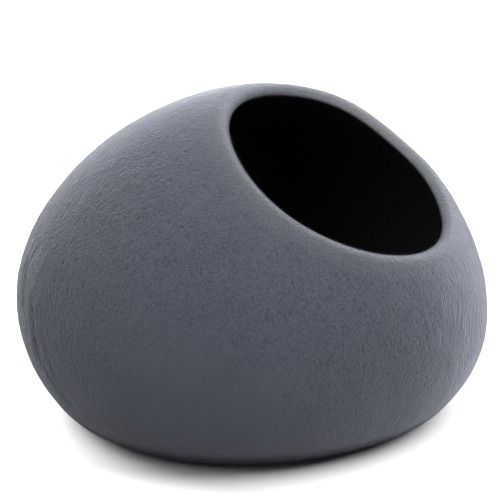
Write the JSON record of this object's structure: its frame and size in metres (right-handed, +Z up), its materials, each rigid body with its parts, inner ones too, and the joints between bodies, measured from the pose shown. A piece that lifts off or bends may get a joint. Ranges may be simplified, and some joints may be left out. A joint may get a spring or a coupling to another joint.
{
  "type": "felt cat cave",
  "caption": "Seamless wool felt pet cave: a flattened egg-shaped hollow that stands on its flat base, with a slanting oval mouth that a small pet goes in and out through.",
  "frame": {"origin": "middle of the base, on the surface that the cave stands on", "axes": "+Z up, -Y towards the mouth, +X along the cave's widest side, to the right of somebody who looks into the mouth"},
  "size_m": [0.4794, 0.4732, 0.3295],
  "materials": {
    "wool_felt": "matte blue-grey wet-felted wool with a fine uneven nap"
  },
  "bodies": {
    "root": {"cave_shell": "wool_felt"}
  },
  "joints": []
}
